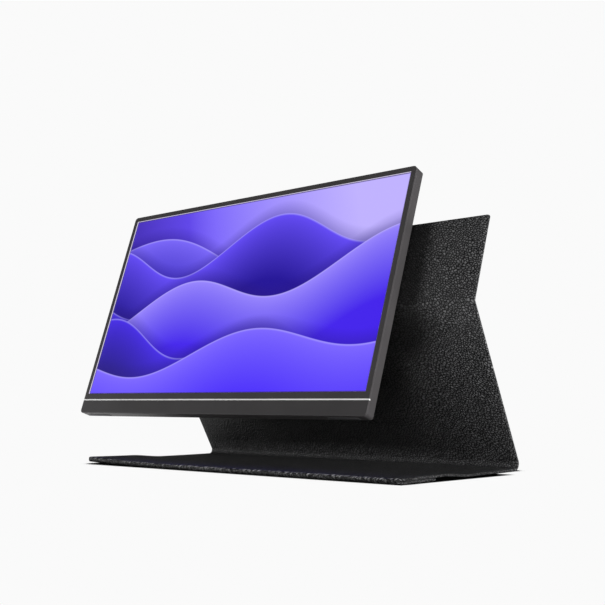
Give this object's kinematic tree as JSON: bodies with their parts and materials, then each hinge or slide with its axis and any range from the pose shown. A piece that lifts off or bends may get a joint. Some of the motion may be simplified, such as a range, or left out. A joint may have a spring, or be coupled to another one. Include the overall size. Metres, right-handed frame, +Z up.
{
  "type": "portable monitor with folding cover",
  "caption": "Slim portable monitor leaning back on a leather cover folded as a Z-shaped stand.",
  "frame": {"origin": "middle of the flat rear part of the cover's base, on the table", "axes": "+X to the viewer's right, +Y to the back, +Z up"},
  "size_m": [0.425, 0.1728, 0.2515],
  "materials": {
    "leather": "pebbled, satin",
    "greyboard": "matt fibre board",
    "magnet": "plated",
    "case": "fine texture",
    "accent": "satin",
    "screen": "anti-glare, lit",
    "film": "frosted",
    "acrylic": "clear",
    "led": "yellow phosphor",
    "steel": "zinc plated",
    "circuit": "solder mask",
    "ribbon": "polyimide film",
    "socket": "bright",
    "black_plastic": "moulded",
    "button": "fine texture",
    "pad": "matt"
  },
  "bodies": {
    "base": {"base_top_skin": "leather", "base_bottom_skin": "leather", "base_front_board": "greyboard", "base_rear_board": "greyboard", "front_fold": "leather"},
    "tip": {"tip_lower_skin": "leather", "tip_upper_skin": "leather", "tip_board": "greyboard", "tip_magnets": "magnet"},
    "spine": {"spine_fold": "leather"},
    "leg": {"leg_front_skin": "leather", "leg_back_skin": "leather", "leg_board": "greyboard", "crease_fold": "leather"},
    "upper": {"upper_front_skin": "leather", "upper_back_skin": "leather", "upper_board": "greyboard", "upper_magnets": "magnet"},
    "power_cap": {"power_button": "button"},
    "rocker": {"menu_rocker": "button"},
    "monitor": {"front_bezel": "case", "chin_cover": "case", "accent_strip": "accent", "glass_panel": "screen", "optical_sheets": "film", "light_guide": "acrylic", "led_bar": "led", "panel_tray": "steel", "timing_board": "circuit", "panel_ribbon": "ribbon", "rear_cover": "case", "steel_plate": "steel", "main_board": "circuit", "board_screws": "steel", "usb_c_socket_1": "socket", "usb_c_socket_2": "socket", "mini_hdmi_socket": "socket", "audio_socket": "black_plastic", "speaker_left": "black_plastic", "speaker_right": "black_plastic", "button_board": "circuit", "foot_pads": "pad"}
  },
  "joints": [
    {"name": "spine_bend", "type": "hinge", "parent": "base", "child": "spine", "pos_m": [0, 0.03695, 0.00105], "axis": [-1, 0, 0], "range_deg": [-7.5, 59.8]},
    {"name": "leg_bend", "type": "hinge", "parent": "spine", "child": "leg", "pos_m": [0, 0.03972, 0.0058], "axis": [-1, 0, 0], "range_deg": [-7.5, 59.8]},
    {"name": "crease_bend", "type": "hinge", "parent": "leg", "child": "upper", "pos_m": [0, -0.0324, 0.13275], "axis": [-1, 0, 0], "range_deg": [-48.5, 46]},
    {"name": "monitor_lift", "type": "slide", "parent": "upper", "child": "monitor", "axis": [0, -0.9432, 0.3322], "range_m": [0, 0.025]},
    {"name": "tip_fold", "type": "hinge", "parent": "base", "child": "tip", "pos_m": [0, -0.1298, 0.00215], "axis": [-1, 0, 0], "range_deg": [0, 180]},
    {"name": "power_press", "type": "slide", "parent": "monitor", "child": "power_cap", "axis": [1, 0, 0], "range_m": [0, 0.0004], "stiffness_N_per_m": 600, "springref_m": -0.0003},
    {"name": "rocker_tilt", "type": "hinge", "parent": "monitor", "child": "rocker", "pos_m": [-0.2466, -0.04111, 0.1232], "axis": [0, 0.9432, -0.3322], "range_deg": [-1.4, 1.4], "stiffness_Nm_per_rad": 0.5}
  ]
}
